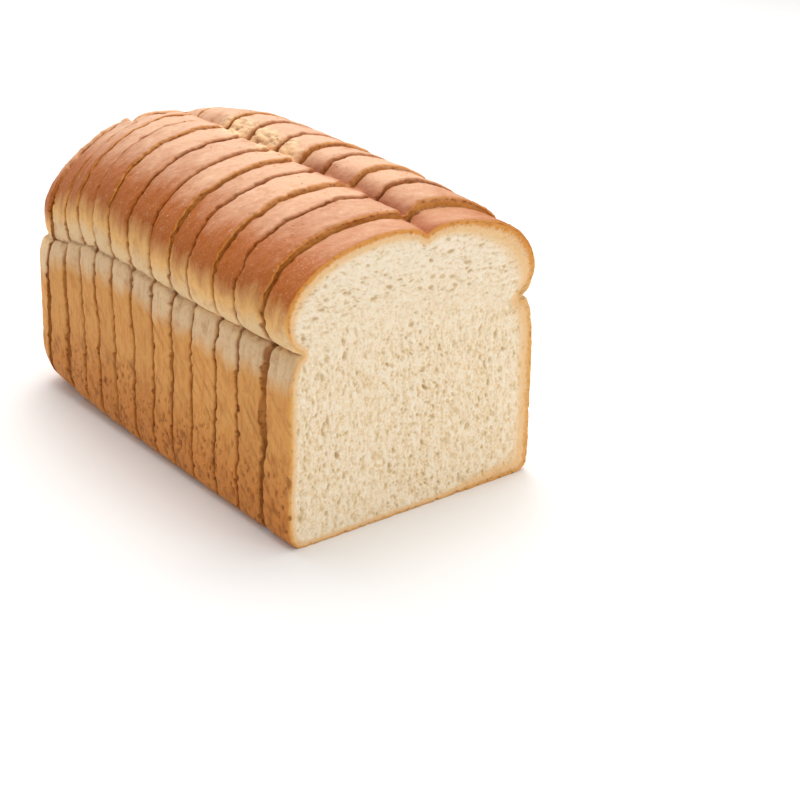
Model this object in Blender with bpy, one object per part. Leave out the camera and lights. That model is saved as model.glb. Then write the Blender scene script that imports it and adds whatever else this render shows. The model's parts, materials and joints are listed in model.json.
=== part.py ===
"""A tin loaf of white bread, cut into thirteen pieces that stand together.

The cut face looks along -Y, the rounded heel is at +Y and the loaf rests on z = 0, in metres.
Every piece is a loft between outlines across the loaf: a straight tin-baked wall, a pinched
rim where the dough rose over the tin, and a dome of two lobes with a split between them.
"""

import math
from collections import namedtuple

import bmesh
import bpy
from mathutils import Vector

# Sizes along the loaf, given at stations one step apart, front to heel, and joined smoothly.
STATION_STEP = 0.034
LEFT_CROWN = (0.1160, 0.1197, 0.1227, 0.1256, 0.1284, 0.1276, 0.1208)
RIGHT_CROWN = (0.1150, 0.1240, 0.1280, 0.1308, 0.1330, 0.1306, 0.1218)
SPLIT_HEIGHT = (0.1116, 0.1165, 0.1196, 0.1226, 0.1258, 0.1246, 0.1204)
SPLIT_X = (0.0038, 0.0050, 0.0035, 0.0020, 0.0000, 0.0040, 0.0050)
DOME_HALF_WIDTH = (0.0586, 0.0584, 0.0580, 0.0577, 0.0572, 0.0558, 0.0540)
DOME_POWER = (2.25, 2.22, 2.18, 2.15, 2.10, 1.90, 1.76)     # 2 is an ellipse, more is squarer
RIM_HEIGHT = (0.0773, 0.0770, 0.0774, 0.0788, 0.0795, 0.0775, 0.0700)
RIM_HALF_WIDTH = (0.0524, 0.0536, 0.0548, 0.0554, 0.0556, 0.0547, 0.0530)
FOOT_RADIUS = (0.0060, 0.0060, 0.0060, 0.0065, 0.0075, 0.0100, 0.0165)

# The walls that the tin gave the loaf.
WALL_HALF_WIDTH = 0.0578
WALL_BOW = 0.0008               # how far a wall swells half way up
FOOT_FLARE = 0.0022             # extra half width just above the base, on the left
FOOT_FLARE_HEIGHT = 0.012
FOOT_FLARE_REACH = 0.0200
BAND_HEIGHT = 0.0160            # the torn band that pinches in below the rim
LIP_HEIGHT = 0.0112             # from the rim up to the widest line of the dome
LIP_CURL = 0.55                 # share of the lip's rise that follows a round curve
SPLIT_SPREAD_LEFT = 0.0065
SPLIT_SPREAD_RIGHT = 0.0085

# Points round one outline.
BASE_STEPS = 6
FOOT_STEPS = 4
WALL_STEPS = 5
BAND_STEPS = 4
LIP_STEPS = 3
LOBE_STEPS = 13
LOBE_CROWDING = 1.5             # more than 1 draws the points towards the split

# The cuts. rim and foot say where a cut crosses the rim line and the base, and open_rim and
# open_foot how wide the gap is there.
Cut = namedtuple("Cut", "rim foot open_rim open_foot")
FRONT_FACE = Cut(0.0000, 0.0000, 0.0, 0.0)
CUTS = (
    Cut(0.0170, 0.0200, 0.0016, 0.0022),
    Cut(0.0362, 0.0365, 0.0007, 0.0007),
    Cut(0.0520, 0.0540, 0.0010, 0.0008),
    Cut(0.0705, 0.0710, 0.0007, 0.0007),
    Cut(0.0857, 0.0874, 0.0011, 0.0009),
    Cut(0.1017, 0.1026, 0.0008, 0.0008),
    Cut(0.1194, 0.1180, 0.0006, 0.0006),
    Cut(0.1368, 0.1346, 0.0010, 0.0008),
    Cut(0.1523, 0.1492, 0.0008, 0.0008),
    Cut(0.1668, 0.1632, 0.0010, 0.0010),
    Cut(0.1820, 0.1815, 0.0014, 0.0026),
    Cut(0.1998, 0.2010, 0.0016, 0.0020),
)
MEAN_RIM_HEIGHT = 0.0780
FOLLOW = 0.45                   # share of the loaf's own change of section within one slice
SMOOTH_ANGLE = math.radians(40)
SOFT_EDGE = 0.0009              # a cut edge is rounded over this length
SOFT_INSET = 0.0005

# The heel, a rounded end of crust.
HEEL_DEPTH = 0.0200
HEEL_RINGS = 10
HEEL_CROWDING = 1.4             # the rings lie closer together at the cut than at the end
HEEL_SMALLEST = 0.06            # size of the last ring, as a share of the first
HEEL_TIN_POWER = 3.6            # the end below the rim is nearly square
HEEL_DOME_POWER = 2.3           # and the dome above it is rounder
HEEL_RIM_PINCH = 0.0012
HEEL_RIM_SPREAD = 0.0045
HEEL_DOME_LEAN = 0.0100         # how much further forward the crown ends than the rim
HEEL_FOOT_LEAN = 0.0035         # and the base

CRUST_COLOUR = (0.47, 0.20, 0.085, 1.0)
CRUMB_COLOUR = (0.86, 0.76, 0.56, 1.0)


def along(values, y):
    """A size at length y, from its values at the stations, on a Catmull-Rom curve."""
    last = len(values) - 1
    place = min(max(y / STATION_STEP, 0.0), last)
    first = min(int(place), last - 1)
    part = place - first
    a = values[max(first - 1, 0)]
    b = values[first]
    c = values[first + 1]
    d = values[min(first + 2, last)]
    slope_b = (c - a) / 2
    slope_c = (d - b) / 2
    return (b * (1 + 2 * part) * (1 - part) ** 2 + slope_b * part * (1 - part) ** 2
            + c * part ** 2 * (3 - 2 * part) + slope_c * part ** 2 * (part - 1))


def steps(count):
    """The fractions 1/count, 2/count and so on up to 1."""
    return [step / count for step in range(1, count + 1)]


def wall_half_width(z, side, rim):
    """Half width of the tin-baked wall at height z; side is -1 on the left and 1 on the right."""
    bow = WALL_BOW * math.sin(math.pi * min(z / rim, 1.0))
    flare = FOOT_FLARE * math.exp(-((z - FOOT_FLARE_HEIGHT) / FOOT_FLARE_REACH) ** 2)
    return WALL_HALF_WIDTH + bow + (flare if side < 0 else 0.0)


def wall_side(y, side):
    """One side from the base up to the widest line of the dome, as (x, z) points."""
    rim = along(RIM_HEIGHT, y)
    rim_half = along(RIM_HALF_WIDTH, y)
    radius = along(FOOT_RADIUS, y)
    dome_half = along(DOME_HALF_WIDTH, y)
    foot = wall_half_width(radius, side, rim)
    points = [(foot - radius, 0.0)]
    for part in steps(FOOT_STEPS):
        angle = part * math.pi / 2
        points.append((foot - radius + radius * math.sin(angle), radius - radius * math.cos(angle)))
    band_start = rim - BAND_HEIGHT
    for part in steps(WALL_STEPS):
        z = radius + (band_start - radius) * part
        points.append((wall_half_width(z, side, rim), z))
    band_half = wall_half_width(band_start, side, rim)
    for part in steps(BAND_STEPS):
        angle = part * math.pi / 2
        points.append((rim_half + (band_half - rim_half) * math.cos(angle),
                       band_start + BAND_HEIGHT * math.sin(angle)))
    for part in steps(LIP_STEPS):
        angle = part * math.pi / 2
        points.append((rim_half + (dome_half - rim_half) * math.sin(angle),
                       rim + LIP_HEIGHT * (LIP_CURL * (1 - math.cos(angle)) + (1 - LIP_CURL) * part)))
    return [(side * x, z) for x, z in points]


def lobe(y, side):
    """One lobe of the dome from its widest line in to the split, as (x, z) points."""
    base = along(RIM_HEIGHT, y) + LIP_HEIGHT
    half = along(DOME_HALF_WIDTH, y)
    crown = along(RIGHT_CROWN if side > 0 else LEFT_CROWN, y)
    split_x = along(SPLIT_X, y)
    spread = SPLIT_SPREAD_RIGHT if side > 0 else SPLIT_SPREAD_LEFT
    power = along(DOME_POWER, y)

    def dome(x):
        return base + (crown - base) * (1 - abs(x / half) ** power) ** (1 / power)

    depth = dome(split_x) - along(SPLIT_HEIGHT, y)
    points = []
    for part in steps(LOBE_STEPS):
        angle = (1 - part) ** LOBE_CROWDING * math.pi / 2
        x = split_x + (side * half - split_x) * math.sin(angle)
        points.append((x, dome(x) - depth * math.exp(-abs(x - split_x) / spread)))
    return points


def outline(y):
    """The outline across the loaf at length y, as (x, z) points against the clock from the
    left end of the base, seen from the front."""
    right = wall_side(y, 1) + lobe(y, 1)
    left = wall_side(y, -1) + lobe(y, -1)
    base_left = left[0][0]
    base_right = right[0][0]
    base = [(base_left + (base_right - base_left) * part, 0.0) for part in steps(BASE_STEPS)]
    return base[:-1] + right + left[-2::-1]


def soften(points, y):
    """The outline drawn in a little, for the edge of a cut; the base stays flat."""
    across = 1 - SOFT_INSET / WALL_HALF_WIDTH
    up = 1 - SOFT_INSET / along(LEFT_CROWN, y)
    return [(x * across, z * up) for x, z in points]


def cut_place(cut, z, side):
    """Length at height z of the face that bounds a cut, on its rear (1) or front (-1) side."""
    height = z / MEAN_RIM_HEIGHT
    middle = cut.foot + (cut.rim - cut.foot) * height
    opening = cut.open_foot + (cut.open_rim - cut.open_foot) * height
    return middle + side * opening / 2


def slice_rings(front, rear):
    """The four rings of a slice between two cuts."""
    middle = (front.rim + rear.rim) / 2
    front_y = middle + (front.rim - middle) * FOLLOW
    rear_y = middle + (rear.rim - middle) * FOLLOW
    front_outline = outline(front_y)
    rear_outline = outline(rear_y)
    soft_front = soften(front_outline, front_y)
    soft_rear = soften(rear_outline, rear_y)
    return [
        [(x, cut_place(front, z, 1), z) for x, z in soft_front],
        [(x, cut_place(front, z, 1) + SOFT_EDGE, z) for x, z in front_outline],
        [(x, cut_place(rear, z, -1) - SOFT_EDGE, z) for x, z in rear_outline],
        [(x, cut_place(rear, z, -1), z) for x, z in soft_rear],
    ]


def heel_reach(z, rim, crown):
    """How far the end of the loaf lies behind the last cut, at height z."""
    above = max(z - rim, 0.0) / (crown - rim)
    pinch = HEEL_RIM_PINCH * math.exp(-((z - rim) / HEEL_RIM_SPREAD) ** 2)
    below = min(max((rim - z) / rim, 0.0), 1.0)
    return HEEL_DEPTH - pinch - HEEL_DOME_LEAN * above ** 2 - HEEL_FOOT_LEAN * below ** 2


def heel_rings(cut):
    """Rings of the heel: the last outline, then ever smaller ones that close its rounded end.

    They shrink towards the rim line, so that the rim runs level round the back."""
    y = cut.rim
    rim = along(RIM_HEIGHT, y)
    crown = max(along(LEFT_CROWN, y), along(RIGHT_CROWN, y))
    points = outline(y)
    rings = [[(x, cut_place(cut, z, 1), z) for x, z in soften(points, y)]]
    for step in range(HEEL_RINGS):
        size = 1 - (1 - HEEL_SMALLEST) * (step / (HEEL_RINGS - 1)) ** HEEL_CROWDING
        ring = []
        for x, z in points:
            above = min(max((z - rim) / (crown - rim), 0.0), 1.0)
            power = HEEL_TIN_POWER + (HEEL_DOME_POWER - HEEL_TIN_POWER) * above
            swell = (1 - size ** power) ** (1 / power)
            ring_z = rim + (z - rim) * size
            reach = SOFT_EDGE + (heel_reach(ring_z, rim, crown) - SOFT_EDGE) * swell
            ring.append((x * size, cut_place(cut, z, 1) + reach, ring_z))
        rings.append(ring)
    return rings


def loft(bm, rings):
    """Walls from ring to ring, and a face over each end."""
    loops = []
    for ring in rings:
        loops.append([bm.verts.new(point) for point in ring])
    for near, far in zip(loops, loops[1:]):
        count = len(near)
        for index in range(count):
            following = (index + 1) % count
            bm.faces.new((near[index], near[following], far[following], far[index]))
    return loops


def close_flat(bm, loop, material_index):
    """A flat face over an open ring, cut into triangles."""
    face = bm.faces.new(loop)
    face.material_index = material_index
    bmesh.ops.triangulate(bm, faces=[face], ngon_method="BEAUTY")


def close_round(bm, loop):
    """A low cone over a small ring, closing the rounded end."""
    middle = sum((vert.co for vert in loop), Vector()) / len(loop)
    tip = bm.verts.new(middle)
    for index, vert in enumerate(loop):
        bm.faces.new((vert, loop[(index + 1) % len(loop)], tip))


def make_material(name, colour, roughness):
    """A plain Principled material of one colour."""
    material = bpy.data.materials.new(name)
    material.use_nodes = True
    shader = material.node_tree.nodes["Principled BSDF"]
    shader.inputs["Base Color"].default_value = colour
    shader.inputs["Roughness"].default_value = roughness
    shader.inputs["Metallic"].default_value = 0.0
    material.diffuse_color = colour
    return material


def make_piece(name, rings, heel, materials, collection, parent):
    """One piece of the loaf from its rings, placed by its own middle."""
    bm = bmesh.new()
    loops = loft(bm, rings)
    close_flat(bm, loops[0], 1)
    if heel:
        close_round(bm, loops[-1])
    else:
        close_flat(bm, loops[-1], 1)
    bmesh.ops.recalc_face_normals(bm, faces=bm.faces[:])
    lengths = [vert.co.y for vert in bm.verts]
    middle = Vector((0.0, (min(lengths) + max(lengths)) / 2, 0.0))
    bmesh.ops.translate(bm, verts=bm.verts[:], vec=-middle)
    mesh = bpy.data.meshes.new(name)
    bm.to_mesh(mesh)
    bm.free()
    for material in materials:
        mesh.materials.append(material)
    mesh.shade_smooth()
    mesh.set_sharp_from_angle(angle=SMOOTH_ANGLE)
    piece = bpy.data.objects.new(name, mesh)
    piece.location = middle
    piece.parent = parent
    collection.objects.link(piece)
    return piece


def centre_on_base(pieces):
    """Move the pieces so that the middle of the loaf's base is at the origin."""
    corners = []
    for piece in pieces:
        corners.extend(piece.location + Vector(corner) for corner in piece.bound_box)
    for axis in (0, 1):
        low = min(corner[axis] for corner in corners)
        high = max(corner[axis] for corner in corners)
        for piece in pieces:
            piece.location[axis] -= (low + high) / 2


def clear_scene():
    for existing in list(bpy.data.objects):
        bpy.data.objects.remove(existing)


def main():
    clear_scene()
    collection = bpy.data.collections.new("tin_loaf")
    bpy.context.scene.collection.children.link(collection)
    loaf = bpy.data.objects.new("loaf_frame", None)
    collection.objects.link(loaf)
    materials = (make_material("crust", CRUST_COLOUR, 0.55), make_material("crumb", CRUMB_COLOUR, 0.85))
    bounds = (FRONT_FACE,) + CUTS
    pieces = []
    for number, (front, rear) in enumerate(zip(bounds, bounds[1:]), start=1):
        name = f"slice_{number:02d}"
        pieces.append(make_piece(name, slice_rings(front, rear), False, materials, collection, loaf))
    pieces.append(make_piece("heel", heel_rings(CUTS[-1]), True, materials, collection, loaf))
    centre_on_base(pieces)


main()
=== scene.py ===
"""The looks of a sliced tin loaf: crust, cut faces, blisters, clinging crumbs and the stage.

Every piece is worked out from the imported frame, in metres, with +Z up. The cut face looks
along -Y and the heel is at +Y. Inside the mesh code lengths are in millimetres.
"""

import json
import math

import bpy
import numpy as np
from bpy.props import FloatProperty, FloatVectorProperty, IntProperty, PointerProperty
from bpy.types import Operator, Panel, PropertyGroup
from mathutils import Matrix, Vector

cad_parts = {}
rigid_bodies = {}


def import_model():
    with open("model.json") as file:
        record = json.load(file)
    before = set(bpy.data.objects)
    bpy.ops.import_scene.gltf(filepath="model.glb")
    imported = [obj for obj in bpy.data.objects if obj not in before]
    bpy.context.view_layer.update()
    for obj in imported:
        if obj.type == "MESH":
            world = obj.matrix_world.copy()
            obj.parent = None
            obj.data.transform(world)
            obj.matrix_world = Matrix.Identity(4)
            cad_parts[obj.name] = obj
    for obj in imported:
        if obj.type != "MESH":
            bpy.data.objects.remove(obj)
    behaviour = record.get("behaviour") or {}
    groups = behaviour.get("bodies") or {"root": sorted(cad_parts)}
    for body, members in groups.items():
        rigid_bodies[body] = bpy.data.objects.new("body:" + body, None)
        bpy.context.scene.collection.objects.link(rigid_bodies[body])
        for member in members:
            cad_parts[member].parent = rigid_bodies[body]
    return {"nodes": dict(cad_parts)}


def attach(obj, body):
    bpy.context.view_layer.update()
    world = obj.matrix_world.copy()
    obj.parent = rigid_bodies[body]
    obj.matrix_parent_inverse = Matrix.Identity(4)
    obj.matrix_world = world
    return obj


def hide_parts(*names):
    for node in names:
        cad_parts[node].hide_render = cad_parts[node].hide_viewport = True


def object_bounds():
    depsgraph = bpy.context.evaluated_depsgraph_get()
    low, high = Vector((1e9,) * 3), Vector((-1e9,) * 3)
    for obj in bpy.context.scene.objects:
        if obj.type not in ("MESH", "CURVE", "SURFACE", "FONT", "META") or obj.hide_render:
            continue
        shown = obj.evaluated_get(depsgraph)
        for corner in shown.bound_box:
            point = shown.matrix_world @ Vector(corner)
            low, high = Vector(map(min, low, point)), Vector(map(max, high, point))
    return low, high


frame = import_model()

bl_info = {
    "name": "Tin Loaf",
    "version": (1, 0, 0),
    "blender": (4, 5, 0),
    "location": "View3D > Sidebar > Tin Loaf",
    "description": "Crust, crumb and stage for a sliced tin loaf",
    "category": "Object",
}

BODY = "root"
SLICES = sorted(name for name in frame["nodes"] if name.startswith("slice_"))
HEEL = "heel"
LOAF_LOW, LOAF_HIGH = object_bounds()
MM = 0.001

# How finely the pieces are meshed, in mm.
AROUND_STEP = 0.50
ACROSS_STEP = 0.80
SHOWN_FACE_STEP = 0.45
HEEL_STEP = 0.62
HEEL_FINE_ROWS = 13              # rows of the heel, from its cut, with as many corners as the cut
EDGE_ROWS = (0.0, 0.25, 0.6, 1.1, 1.7)     # behind each cut edge
SKIN_RINGS = (0.35, 0.8, 1.3, 1.9, 2.6)    # in from the edge of a cut face
HIDDEN_RINGS = (4.0, 6.0, 9.0, 13.0, 19.0, 27.0, 37.0, 47.0)  # further in, on a face inside a cut
FEWEST_CORNERS = 8               # in the smallest ring

# Where the frame's outlines have their features, in mm.
MERGE_DECIMALS = 3               # corners that agree to so many decimals are one
LEVEL_NORMAL = 0.95              # a cut face's normals point at least so much along the loaf
HUB_HEIGHT = 77.0                # the outline of every cut face can be seen whole from this height
FACE_HUB = (0.0, 0.0, 60.0)      # and every ring of a cut face from here
RIM_ZONE = (62.0, 83.0)          # heights between which the rim is the narrowest place
SPLIT_ABOVE = 95.0               # the split is above this height
SPLIT_REACH = 14.0               # and no further than this from the middle
CROWN_BEND = 0.004               # how fast a crown falls to its sides, per mm squared

# The outline of a cut face loses its notches towards the middle.
ROUNDING_REACH = 24              # points to each side that are averaged
ROUNDING_PASSES = 3
ROUND_FROM = 16.0                # mm from the edge where the notches are gone

# A cut edge is drawn in by this much in the frame, and the crust stands out again behind it.
EDGE_INSET = 0.5
EDGE_LENGTH = 0.8

# Behind these cuts the next slice stands a little proud of the one in front.
PROUD_CUTS = (1, 3, 5, 8, 10, 11, 12)
REAR_CUTS = (10, 11, 12)
PROUD_LIFT = 0.60                # mm by which it stands proud
REAR_LIFT = 1.1                  # the same behind the rear cuts
PROUD_DROP = 0.35                # and mm by which the one in front dips

# How much darker or paler each slice is baked, from the front.
TONES = (0.10, -0.15, 0.20, 0.30, -0.10, 0.15, -0.35, -0.10, -0.50, -0.20, -0.40, -0.45)
HEEL_TONE = 0.60
SHADED_CUT = 0.50                # how much painted shade, an orange brown, the crust gets inside the cuts
EDGE_CUT_SHADE = 0.50                 # and at their edges
EDGE_GOLD = 0.30                 # depth at an edge that shows, which makes it golden
EDGE_DULL = 0.10                 # and at the other edges
EDGE_FADE = 0.35                 # mm over which that depth fades behind the edge
CUT_SHADE_FADE = 0.45                 # mm over which the painted shade of an edge fades behind it
HEEL_CUT_SHADE_FADE = 0.6             # the same on the heel
EDGE_SWAY = 2.2                  # mm of crust that follows a wandering edge
FACE_SWAY = 0.9                  # the same on the face that shows

# How much wider each cut is torn on the walls, from the front face on, in mm.
CUT_WIDTHS = (0.0, 2.6, 0.5, 0.4, 0.6, 1.0, 0.4, 0.9, 0.4, 0.8, 0.5, 1.6, 1.9)
HEEL_BAKE = 3.0                  # mm by which the brown of the heel's shoulder reaches lower
BAKE_STRAY = 17.0                # mm over which the mottled colours stray up and down
TONE_BAKE = 6.0                  # mm by which a tone of 1 shifts the colours of a slice down
TONE_BRIGHTNESS = 1.12           # how many times brighter the crust with the highest tone is

# The torn patch in the split, measured along the loaf from the front face, in mm.
TORN_START = 80.0
TORN_END = 152.0

# The crust's colour at each height above the rim, in mm, between the two ends of the scale; the crown
# at the top is paler with painted sheen.
BAKE_LOW = -80.0
BAKE_HIGH = 50.0
BAKE = ((-78, "foot"), (-60, "foot"), (-38, "wall"), (-16, "wall"), (-8, "band"), (-2, "band"),
        (1.0, "lip"), (4.5, "lip"), (11.0, "gold"), (21.0, "shoulder"), (31.0, "shoulder"),
        (44.0, "crown"))

# The stage, in metres.
FLOOR_REACH = 6.0
CAMERA_AIM = (0.0281, 0.0468, 0.0231)      # from the middle of the front edge of the base
CAMERA_DISTANCE = 0.63344
SENSOR_WIDTH = 36.0                        # mm
LIGHTS = (
    # name, its power, place, target, width and height
    ("top_light", "key_power", (0.22, 0.15, 1.1), (0.0, 0.0, 0.05), 0.9, 0.9),
    ("back_light", "sheen_power", (0.40, 1.15, 0.85), (0.0, 0.0, 0.08), 1.4, 0.8),
    ("backdrop_light", "backdrop_power", (1.5, 1.7, 1.3), (1.4, 1.4, 0.0), 1.2, 1.2),
    ("front_light", "front_power", (0.25, -1.2, 0.7), (0.0, -0.05, 0.05), 0.9, 0.9),
)


def colour(hex_value):
    """An sRGB hex colour as linear red, green and blue."""
    channels = [int(hex_value[place:place + 2], 16) / 255 for place in (1, 3, 5)]
    return tuple(c / 12.92 if c <= 0.04045 else ((c + 0.055) / 1.055) ** 2.4 for c in channels)


def colour_prop(name, description, hex_value):
    return FloatVectorProperty(name=name, description=description, subtype="COLOR", size=3,
                               min=0.0, max=1.0, default=colour(hex_value))


class CrustSettings(PropertyGroup):
    """Sizes and colours of the crust."""
    foot: colour_prop("Foot", "Brown of the lowest part of the wall", "#D0863E")
    wall: colour_prop("Wall", "Golden tan of the wall baked against the tin", "#DE9F55")
    band: colour_prop("Band", "Pale torn band under the rim", "#E2C196")
    lip: colour_prop("Lip", "Cream of the stretched skin just above the rim", "#E8C796")
    shoulder: colour_prop("Shoulder", "Reddish brown of the shoulders", "#AC5A18")
    # Partly painted sheen: the crown's brown is paler and pinker than the crust's own.
    crown: colour_prop("Crown", "Brown of the top", "#D3A27F")
    # Painted shade in the split, on the flank of the right lobe.
    valley: colour_prop("Valley", "Deep red brown of the split", "#A04A16")
    gold: colour_prop("Gold", "Gold between the pale lip and the brown shoulders", "#ECB871")
    torn: colour_prop("Torn", "Pale gold of the torn skin in the split", "#F0C899")
    cut_edge: colour_prop("Cut edge", "Orange brown of the crust where it is cut", "#E29C49")
    wall_edge: colour_prop("Wall edge", "Bright gold of the thin cut crust of the walls", "#E9B469")
    # Painted shade: the dark brown laid in pits, hollows and the rim's crease.
    hollow_shade_brown: colour_prop("Pits", "Dark brown inside the pits of the crust", "#82420F")
    # Painted shade: the orange brown laid inside the cuts and along their edges.
    seam: colour_prop("Seams", "Orange brown deep in the cuts", "#A85812")
    lump_height: FloatProperty(name="Lumps", description="Height of the soft lumps", unit="LENGTH",
                               default=0.00025, min=0.0)
    pit_depth: FloatProperty(name="Pit depth", description="Depth of the pits low on the wall",
                             unit="LENGTH", default=0.00045, min=0.0)
    tear_height: FloatProperty(name="Tears", description="Relief of the torn band", unit="LENGTH",
                               default=0.00042, min=0.0)
    wander: FloatProperty(name="Wander", description="How far a cut edge strays from its plane",
                          unit="LENGTH", default=0.00085, min=0.0)
    bite: FloatProperty(name="Bites", description="Depth of bits torn from the cut edges",
                        unit="LENGTH", default=0.0014, min=0.0)


class CrumbSettings(PropertyGroup):
    """Sizes and colours of the cut faces."""
    # Also laid as a painted highlight on the raised strands of the crumb.
    light: colour_prop("Light", "Palest cell walls", "#FBECD4")
    middle: colour_prop("Middle", "Cream of the crumb", "#EDD0A3")
    # Painted shade: the tan laid in the crumb's pores.
    pore: colour_prop("Pores", "Tan inside the pores", "#C8A873")
    peach: colour_prop("Peach", "Close crumb just inside the walls", "#F1C893")
    pore_depth: FloatProperty(name="Pore depth", description="Depth of the largest pores",
                              unit="LENGTH", default=0.0015, min=0.0)


class TrimSettings(PropertyGroup):
    """Blisters and crumbs."""
    blister: colour_prop("Blisters", "Pale specks on the crown", "#D09A66")
    crumb: colour_prop("Crumbs", "Loose crumbs in the cuts", "#C48F4E")
    blister_density: FloatProperty(name="Blister density", description="Blisters per square metre",
                                   default=15000.0, min=0.0)
    blister_size: FloatProperty(name="Blister size", description="Radius of a middling blister",
                                unit="LENGTH", default=0.00036, min=0.0)
    crumb_size: FloatProperty(name="Crumb size", description="Radius of a middling crumb",
                              unit="LENGTH", default=0.00042, min=0.0)
    crumbs_per_cut: IntProperty(name="Crumbs", description="Crumbs along each cut", default=26, min=0)
    seed: IntProperty(name="Seed", description="Seed of everything scattered", default=7, min=0)


class StageSettings(PropertyGroup):
    """Camera, floor and light."""
    azimuth: FloatProperty(name="Azimuth", description="Camera's turn about the loaf",
                           subtype="ANGLE", default=math.radians(-37.41))
    elevation: FloatProperty(name="Elevation", description="Camera's height as an angle",
                             subtype="ANGLE", default=math.radians(23.26))
    lens: FloatProperty(name="Lens", description="Focal length on a 36 mm sensor, in mm", default=67.5)
    key_power: FloatProperty(name="Top light", description="Strength of the light overhead",
                             unit="POWER", default=9.6, min=0.0)
    sheen_power: FloatProperty(name="Back light", description="Strength of the light behind",
                               unit="POWER", default=7.4, min=0.0)
    front_power: FloatProperty(name="Front light", description="Strength of the light in front",
                               unit="POWER", default=3.3, min=0.0)
    backdrop_power: FloatProperty(name="Backdrop light", unit="POWER", default=5.0, min=0.0,
                                  description="Strength of the light on the floor behind")
    ambient: FloatProperty(name="Ambient", description="Strength of the white surroundings",
                           default=0.55, min=0.0)


# ---------------------------------------------------------------- numbers and noise

def ramp_up(low, high, value):
    """0 below low, 1 above high, and smooth between them."""
    part = np.clip((value - low) / (high - low), 0.0, 1.0)
    return part * part * (3 - 2 * part)


def lattice(ix, iy, iz, seed):
    """A fixed random number from 0 to 1 for every point of a lattice."""
    mixed = (ix * 374761393 + iy * 668265263 + iz * 1440662683 + seed * 1274126177) & 0xFFFFFFFF
    mixed = ((mixed ^ (mixed >> 13)) * 1274126177) & 0xFFFFFFFF
    mixed = ((mixed ^ (mixed >> 15)) * 668265263) & 0xFFFFFFFF
    return ((mixed ^ (mixed >> 16)) & 0xFFFFFF) / 0xFFFFFF


def soft_noise(points, size, seed):
    """Smooth noise from -1 to 1 whose features are size mm wide, one number or one an axis."""
    scaled = points / np.broadcast_to(np.asarray(size, float), (3,))
    base = np.floor(scaled).astype(np.int64)
    part = scaled - base
    part = part ** 3 * (part * (part * 6 - 15) + 10)
    total = np.zeros(len(points))
    for dx in (0, 1):
        for dy in (0, 1):
            for dz in (0, 1):
                weight = ((part[:, 0] if dx else 1 - part[:, 0])
                          * (part[:, 1] if dy else 1 - part[:, 1])
                          * (part[:, 2] if dz else 1 - part[:, 2]))
                total += weight * lattice(base[:, 0] + dx, base[:, 1] + dy, base[:, 2] + dz, seed)
    return total * 2 - 1


def rough_noise(points, size, seed, octaves=3):
    """Noise with finer noise on it, each octave half as wide and half as high."""
    size = np.asarray(size, float)
    total = np.zeros(len(points))
    reach = 0.0
    for octave in range(octaves):
        share = 0.5 ** octave
        total += share * soft_noise(points, size * share, seed + 17 * octave)
        reach += share
    return total / reach


def cells(points, size, seed, flat=False):
    """Distance to the nearest of scattered points, in cells, and that point's own number.

    flat leaves the second axis out, for a pattern on a cut face."""
    scaled = points / np.broadcast_to(np.asarray(size, float), (3,))
    base = np.floor(scaled).astype(np.int64)
    nearest = np.full(len(points), 9.0)
    own = np.zeros(len(points))
    steps = (-1, 0, 1)
    for dx in steps:
        for dy in ((0,) if flat else steps):
            for dz in steps:
                ix = base[:, 0] + dx
                iy = base[:, 1] + dy
                iz = base[:, 2] + dz
                offset_x = ix + lattice(ix, iy, iz, seed) - scaled[:, 0]
                offset_y = 0.0 if flat else iy + lattice(ix, iy, iz, seed + 1) - scaled[:, 1]
                offset_z = iz + lattice(ix, iy, iz, seed + 2) - scaled[:, 2]
                distance = np.sqrt(offset_x ** 2 + offset_y ** 2 + offset_z ** 2)
                closer = distance < nearest
                nearest = np.where(closer, distance, nearest)
                own = np.where(closer, lattice(ix, iy, iz, seed + 3), own)
    return nearest, own


def pores(points, size, seed, share, smallest, largest, flat=True):
    """1 inside a pore and 0 between them: a share of the cells hold one, of a random radius."""
    distance, own = cells(points, size, seed, flat)
    radius = smallest + (largest - smallest) * (own / share) ** 2
    inside = 1 - ramp_up(0.45, 1.0, distance / np.maximum(radius, 0.01))
    return np.where(own < share, inside, 0.0)


# ---------------------------------------------------------------- outlines from the frame

def frame_mesh(node):
    """A node's merged corners in mm and its triangles."""
    mesh = frame["nodes"][node].data
    corners = np.zeros(len(mesh.vertices) * 3)
    mesh.vertices.foreach_get("co", corners)
    corners = corners.reshape(-1, 3) / MM
    mesh.calc_loop_triangles()
    triangles = np.zeros(len(mesh.loop_triangles) * 3, np.int64)
    mesh.loop_triangles.foreach_get("vertices", triangles)
    _, first, merged = np.unique(np.round(corners, MERGE_DECIMALS), axis=0, return_index=True,
                                 return_inverse=True)
    return corners[first], merged.reshape(-1)[triangles].reshape(-1, 3)


def turn_of(points):
    """Angle of each point about the middle of the rim, from straight down towards +X."""
    return np.arctan2(points[:, 0], HUB_HEIGHT - points[:, 2]) % (2 * math.pi)


def cut_loop(corners, triangles, towards):
    """The outline of a node's cut face that looks along -Y (-1) or +Y (1), from the right
    corner of the base, against the clock as seen from the front."""
    a, b, c = (corners[triangles[:, place]] for place in range(3))
    normals = np.cross(b - a, c - a)
    upright = abs(normals[:, 1]) > LEVEL_NORMAL * np.linalg.norm(normals, axis=1)
    middle = (corners[:, 1].min() + corners[:, 1].max()) / 2
    chosen = triangles[upright & (towards * (a[:, 1] - middle) > 0)]
    loop = corners[np.unique(chosen)]
    return loop[np.argsort(turn_of(loop))]


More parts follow.
